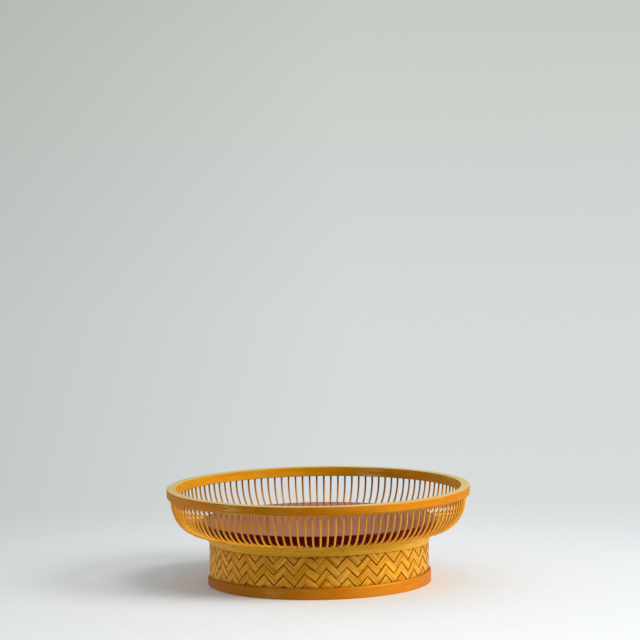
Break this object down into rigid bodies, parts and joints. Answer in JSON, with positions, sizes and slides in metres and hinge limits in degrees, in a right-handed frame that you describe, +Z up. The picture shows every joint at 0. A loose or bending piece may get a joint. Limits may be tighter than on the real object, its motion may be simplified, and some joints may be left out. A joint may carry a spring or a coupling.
{
  "type": "footed round tray",
  "caption": "Footed round bamboo tray: open bowl of bent splint ribs in a rim hoop, lacquered floor board, twill-woven foot with collar and foot hoops.",
  "frame": {"origin": "centre of the foot on the surface that the tray stands on", "axes": "+Z up along the tray's axis, -Y towards the viewer"},
  "size_m": [0.27, 0.2704, 0.0859],
  "materials": {
    "amber_bamboo": "amber bamboo skin, satin, with fibre grain and paler node marks",
    "splint_bamboo": "drawn round bamboo splints, satin",
    "pale_bamboo": "pale yellow bamboo, satin, fine lengthways grain",
    "woven_bamboo": "split bamboo strips with fine lengthways fibres",
    "red_lacquer": "glossy dark red lacquer over a wooden board",
    "nail_iron": "darkened iron nails"
  },
  "bodies": {
    "root": {"rim_hoop": "amber_bamboo", "rib_cage": "splint_bamboo", "floor_board": "red_lacquer", "collar_hoop": "pale_bamboo", "woven_wall": "woven_bamboo", "foot_hoop": "amber_bamboo", "inner_foot_hoop": "pale_bamboo", "collar_nail_1": "nail_iron", "collar_nail_2": "nail_iron", "collar_nail_3": "nail_iron", "collar_nail_4": "nail_iron", "collar_nail_5": "nail_iron", "collar_nail_6": "nail_iron"}
  },
  "joints": []
}
